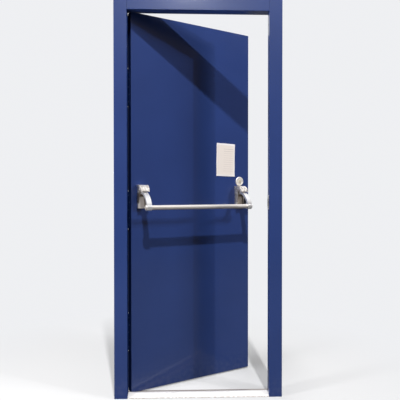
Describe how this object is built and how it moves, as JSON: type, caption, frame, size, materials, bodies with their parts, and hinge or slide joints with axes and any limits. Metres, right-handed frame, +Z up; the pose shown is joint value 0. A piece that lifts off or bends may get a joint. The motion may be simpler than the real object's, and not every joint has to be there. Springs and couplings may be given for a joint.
{
  "type": "single leaf steel fire exit door with push bar",
  "caption": "Blue steel fire exit door set: folded frame with sill, outward opening flush leaf and a tube push bar on arms that works a rim latch.",
  "frame": {"origin": "underside of the sill, at the middle of the doorway and at half the depth of the frame", "axes": "+Z up the jambs, +X to the right seen from the push side, +Y the way the leaf opens; the leaf is stored 27.4 degrees open"},
  "size_m": [0.895, 0.4949, 2.13],
  "materials": {
    "frame_paint": "semi-gloss blue powder coat on folded steel",
    "leaf_paint": "semi-gloss blue powder coat on flat steel skins",
    "threshold_steel": "satin stainless, lightly trodden",
    "keep_steel": "satin stainless",
    "hinge_steel": "satin stainless",
    "galvanised": "bare galvanised sheet",
    "seal_rubber": "matt black",
    "core": "honeycomb filling, hidden",
    "housing_steel": "polished satin stainless",
    "mechanism_steel": "plated steel",
    "arm_chrome": "bright satin chrome",
    "bar_steel": "brushed along its length",
    "latch_dark": "dark plated cast steel",
    "rosette_pale": "pale satin",
    "cylinder_brass": "satin brass",
    "paper": "matt warm white sheet"
  },
  "bodies": {
    "frame": {"left_jamb": "frame_paint", "right_jamb": "frame_paint", "head": "frame_paint", "threshold": "threshold_steel", "left_seal": "seal_rubber", "right_seal": "seal_rubber", "head_seal": "seal_rubber", "strike_plate": "keep_steel", "left_fixing_sleeves": "galvanised", "right_fixing_sleeves": "galvanised", "bottom_hinge_frame_plate": "hinge_steel", "bottom_hinge_pin": "hinge_steel", "middle_hinge_frame_plate": "hinge_steel", "middle_hinge_pin": "hinge_steel", "top_hinge_frame_plate": "hinge_steel", "top_hinge_pin": "hinge_steel"},
    "leaf": {"push_skin": "leaf_paint", "outer_skin": "leaf_paint", "leaf_core": "core", "top_channel": "leaf_paint", "bottom_channel": "leaf_paint", "inner_rosette": "rosette_pale", "outer_rosette": "rosette_pale", "lock_cylinder": "cylinder_brass", "notice_sheet": "paper", "latch_case": "latch_dark", "hinge_side_cover": "housing_steel", "hinge_side_chassis": "mechanism_steel", "hinge_side_pivot": "mechanism_steel", "lock_side_cover": "housing_steel", "lock_side_chassis": "mechanism_steel", "lock_side_pivot": "mechanism_steel", "bottom_hinge_leaf_plate": "hinge_steel", "middle_hinge_leaf_plate": "hinge_steel", "top_hinge_leaf_plate": "hinge_steel"},
    "push_bar": {"push_tube": "bar_steel", "hinge_side_arm": "arm_chrome", "hinge_side_cap": "bar_steel", "lock_side_arm": "arm_chrome", "lock_side_cap": "bar_steel"},
    "latch_bolt": {"latch_bolt": "mechanism_steel"}
  },
  "joints": [
    {"name": "leaf_hinge", "type": "hinge", "parent": "frame", "child": "leaf", "pos_m": [-0.39, 0.0555, 1], "axis": [0, 0, 1], "range_deg": [-27.4, 137.6]},
    {"name": "bar_push", "type": "hinge", "parent": "leaf", "child": "push_bar", "pos_m": [-0.01938, 0.15863, 1.096], "axis": [0.8878, 0.4602, 0], "range_deg": [0, 15], "stiffness_Nm_per_rad": 8, "springref_deg": -28.65},
    {"name": "latch_slide", "type": "slide", "parent": "leaf", "child": "latch_bolt", "axis": [-0.8878, -0.4602, 0], "range_m": [0, 0.018]}
  ],
  "couplings": [
    {"joint": "latch_slide", "follows": "bar_push", "m_per_rad": 0.068}
  ]
}
